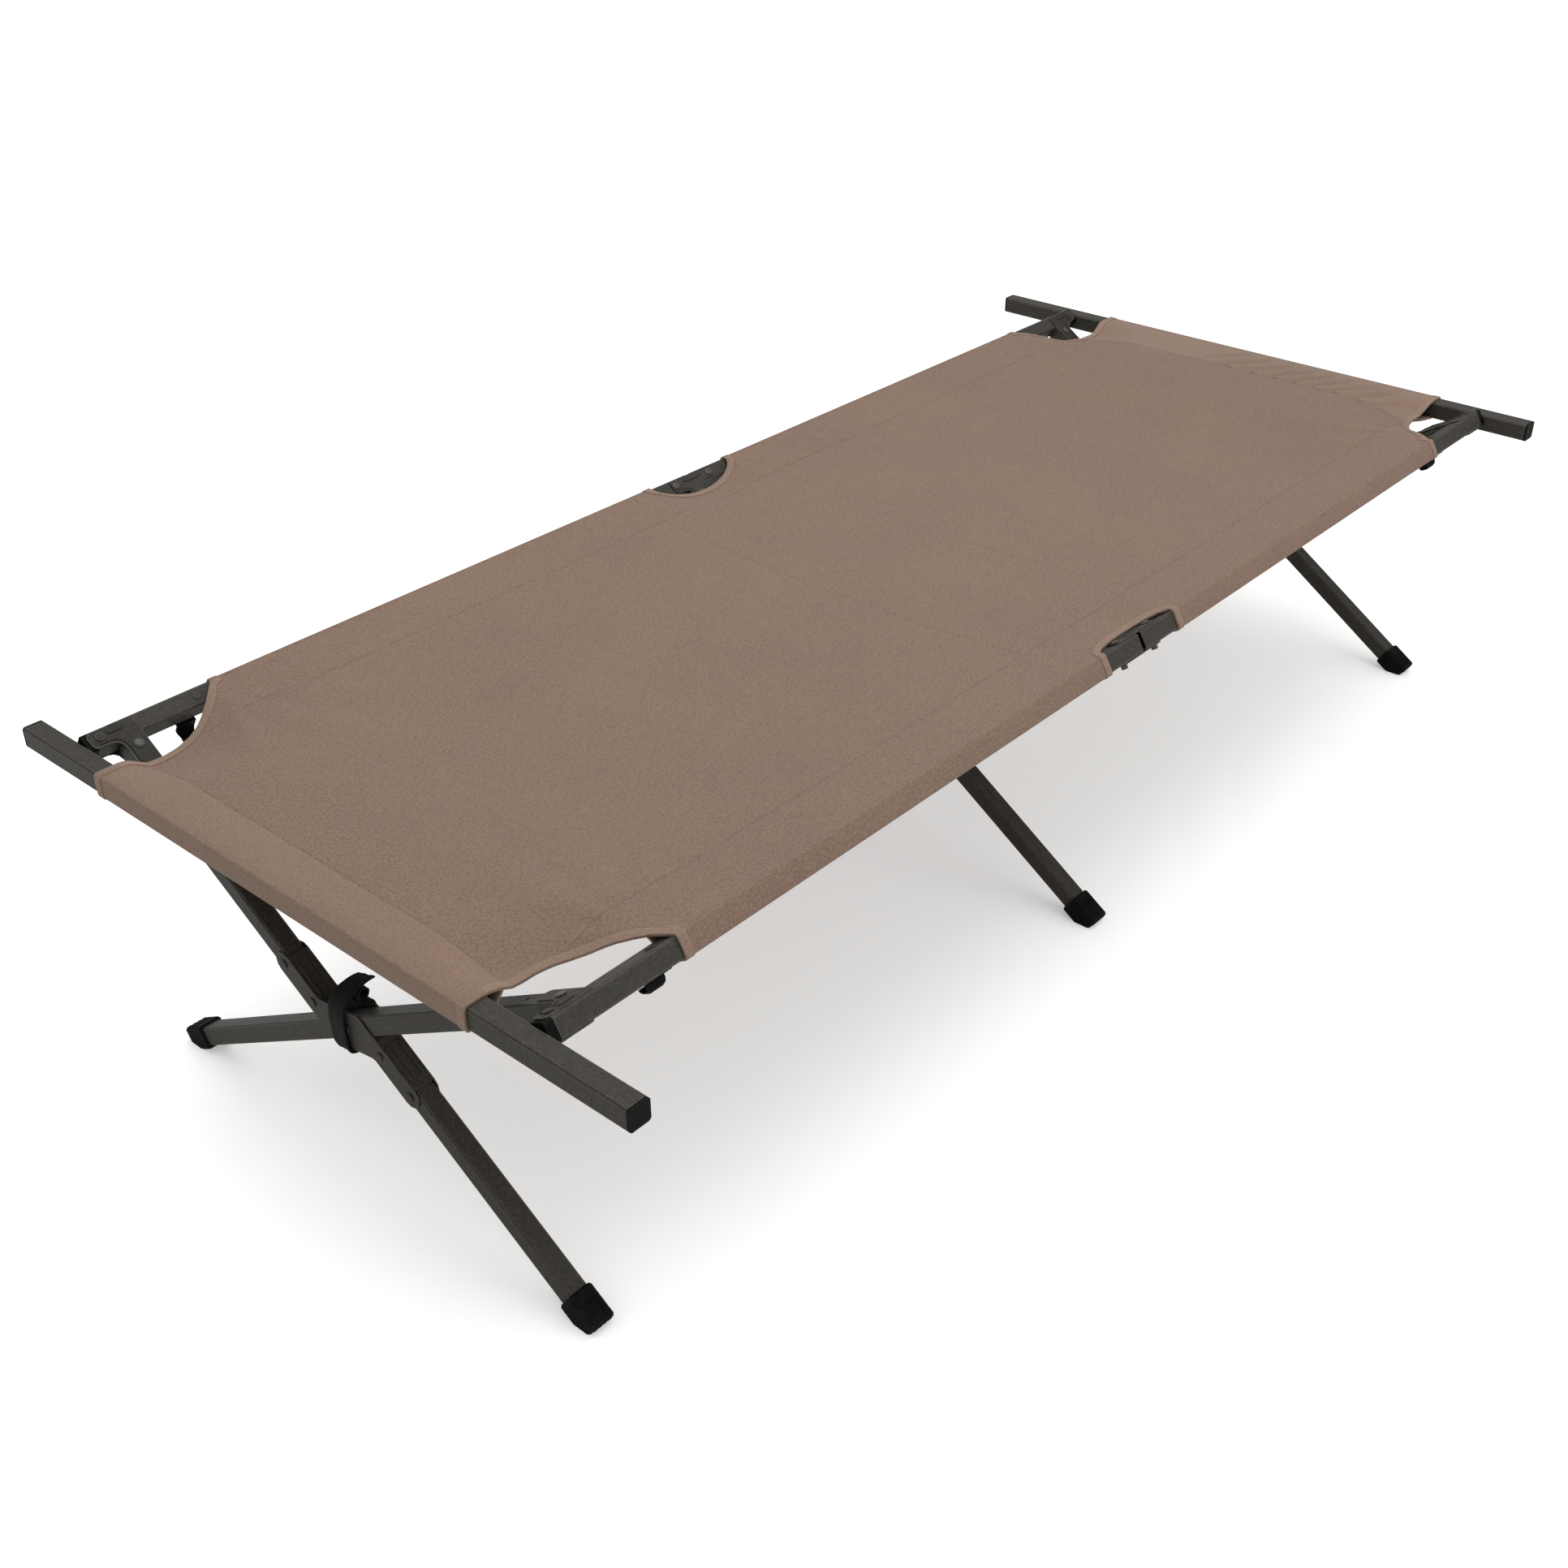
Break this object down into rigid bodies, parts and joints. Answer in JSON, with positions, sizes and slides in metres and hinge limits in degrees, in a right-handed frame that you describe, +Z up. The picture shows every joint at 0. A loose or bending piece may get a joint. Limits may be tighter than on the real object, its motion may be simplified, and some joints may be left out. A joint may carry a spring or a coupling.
{
  "type": "camping cot",
  "caption": "Folding camping cot with a canvas bed sleeved over hinged steel side rails, crossed folding legs on rubber feet, and end bars in the canvas hems.",
  "frame": {"origin": "on the floor, in the middle of the cot's length and width: the bottom centre of its bounding box", "axes": "+X along the bed towards its far end, +Y across the bed towards the left side, +Z up"},
  "size_m": [1.959, 1.0046, 0.4392],
  "materials": {
    "frame_steel": "hammered dark bronze paint, satin",
    "rivet_steel": "dark rivet heads, worn",
    "black_plastic": "moulded, satin",
    "black_rubber": "matte",
    "taupe_canvas": "plain weave, matte",
    "black_webbing": "woven, matte"
  },
  "bodies": {
    "right_frame": {"right_rail_near": "frame_steel", "right_rail_far": "frame_steel", "right_rail_plug_near": "black_plastic", "right_rail_plug_far": "black_plastic", "right_corner_bracket_near": "frame_steel", "right_corner_bracket_far": "frame_steel", "right_hinge_bracket": "frame_steel", "right_hinge_rivet_near": "rivet_steel", "right_hinge_rivet_far": "rivet_steel", "right_leg_rivet_near": "rivet_steel", "right_leg_rivet_middle": "rivet_steel", "right_leg_rivet_far": "rivet_steel", "straight_leg_near": "frame_steel", "straight_leg_middle": "frame_steel", "straight_leg_far": "frame_steel", "cross_pin_near": "rivet_steel", "cross_pin_middle": "rivet_steel", "cross_pin_far": "rivet_steel", "left_foot_near": "black_rubber", "left_foot_middle": "black_rubber", "left_foot_far": "black_rubber", "right_leg_hook_near": "black_plastic", "right_leg_hook_far": "black_plastic", "canvas": "taupe_canvas", "leg_strap": "black_webbing"},
    "left_frame": {"left_rail_near": "frame_steel", "left_rail_far": "frame_steel", "left_rail_plug_near": "black_plastic", "left_rail_plug_far": "black_plastic", "left_corner_bracket_near": "frame_steel", "left_corner_bracket_far": "frame_steel", "left_hinge_bracket": "frame_steel", "left_hinge_rivet_near": "rivet_steel", "left_hinge_rivet_far": "rivet_steel", "left_leg_rivet_near": "rivet_steel", "left_leg_rivet_middle": "rivet_steel", "left_leg_rivet_far": "rivet_steel", "split_leg_upper_near": "frame_steel", "split_leg_upper_middle": "frame_steel", "split_leg_upper_far": "frame_steel", "split_leg_lower_near": "frame_steel", "split_leg_lower_middle": "frame_steel", "split_leg_lower_far": "frame_steel", "cross_bracket_near": "frame_steel", "cross_bracket_middle": "frame_steel", "cross_bracket_far": "frame_steel", "right_foot_near": "black_rubber", "right_foot_middle": "black_rubber", "right_foot_far": "black_rubber", "left_leg_hook_near": "black_plastic", "left_leg_hook_far": "black_plastic"},
    "near_bar": {"near_bar": "frame_steel", "near_bar_cap_left": "black_plastic", "near_bar_cap_right": "black_plastic"},
    "far_bar": {"far_bar": "frame_steel", "far_bar_cap_left": "black_plastic", "far_bar_cap_right": "black_plastic"}
  },
  "joints": [
    {"name": "main_fold", "type": "hinge", "parent": "right_frame", "child": "left_frame", "pos_m": [0, 0, 0.20589], "axis": [1, 0, 0], "range_deg": [0, 112], "deforming": ["canvas", "leg_strap"]},
    {"name": "near_bar_slide", "type": "slide", "parent": "right_frame", "child": "near_bar", "axis": [0, -1, 0], "range_m": [0, 0.76]},
    {"name": "far_bar_slide", "type": "slide", "parent": "right_frame", "child": "far_bar", "axis": [0, 1, 0], "range_m": [0, 0.76]}
  ],
  "couplings": [
    {"joint": "near_bar_slide", "follows": "main_fold", "m_per_rad": 0.388},
    {"joint": "far_bar_slide", "follows": "main_fold", "m_per_rad": 0.388}
  ]
}
